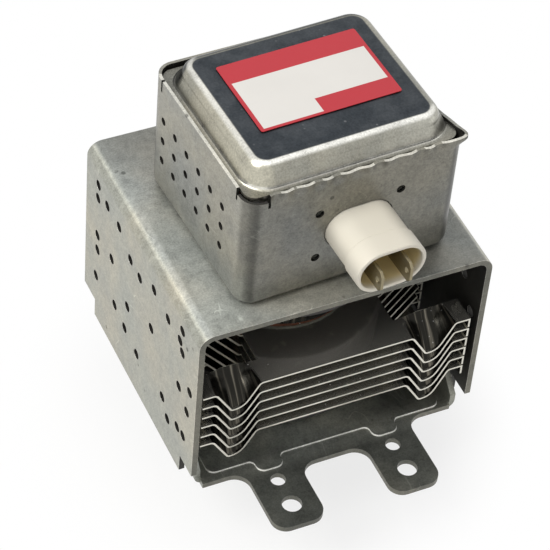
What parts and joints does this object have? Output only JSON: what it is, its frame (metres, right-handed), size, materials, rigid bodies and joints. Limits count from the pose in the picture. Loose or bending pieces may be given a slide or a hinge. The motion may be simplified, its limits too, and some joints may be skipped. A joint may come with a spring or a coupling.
{
  "type": "magnetron",
  "caption": "Microwave-oven magnetron: finned anode in a perforated steel yoke, mounting plate with ears, filter box with a two-blade connector, antenna below.",
  "frame": {"origin": "the tube's axis at the underside of the mounting plate, where it sits on the waveguide", "axes": "+Z along the tube's axis towards the filter box, -Y towards the ears and the connector"},
  "size_m": [0.0799, 0.0949, 0.1242],
  "materials": {
    "zinc_steel": "zinc-plated steel sheet, satin",
    "tin_steel": "bright tinned steel sheet, satin",
    "aluminium": "bright rolled aluminium",
    "copper": "bare copper",
    "nickel": "nickel plate, bright",
    "molybdenum": "dark drawn metal",
    "ferrite": "dark ferrite, matt",
    "white_ceramic": "white alumina, matt",
    "cream_plastic": "cream moulded plastic, satin",
    "tan_resin": "potting resin, satin",
    "enamelled_wire": "enamelled copper wire, glossy",
    "paper_label": "printed label, satin",
    "wire_mesh": "knitted wire mesh"
  },
  "bodies": {
    "root": {"yoke": "zinc_steel", "base_plate": "zinc_steel", "magnet_lower": "ferrite", "magnet_upper": "ferrite", "anode_block": "copper", "strap_ring_1": "copper", "strap_ring_2": "copper", "strap_ring_3": "copper", "strap_ring_4": "copper", "pole_piece_upper": "zinc_steel", "pole_piece_lower": "zinc_steel", "seal_upper": "nickel", "seal_lower": "nickel", "filament": "molybdenum", "end_hat_lower": "molybdenum", "end_hat_upper": "molybdenum", "centre_lead": "molybdenum", "side_lead": "molybdenum", "cathode_ceramic": "white_ceramic", "cathode_terminal_1": "nickel", "cathode_terminal_2": "nickel", "antenna_gasket": "wire_mesh", "antenna_ceramic": "white_ceramic", "antenna_cap": "nickel", "antenna_lead": "copper", "fin_1": "aluminium", "fin_2": "aluminium", "fin_3": "aluminium", "fin_4": "aluminium", "fin_5": "aluminium", "fin_6": "aluminium", "filter_box": "tin_steel", "box_lid": "tin_steel", "label": "paper_label", "connector_shell": "cream_plastic", "terminal_blade_1": "nickel", "terminal_blade_2": "nickel", "capacitor_body": "tan_resin", "capacitor_plate": "zinc_steel", "ferrite_core_1": "ferrite", "ferrite_core_2": "ferrite", "choke_coil_1": "enamelled_wire", "choke_coil_2": "enamelled_wire"}
  },
  "joints": []
}
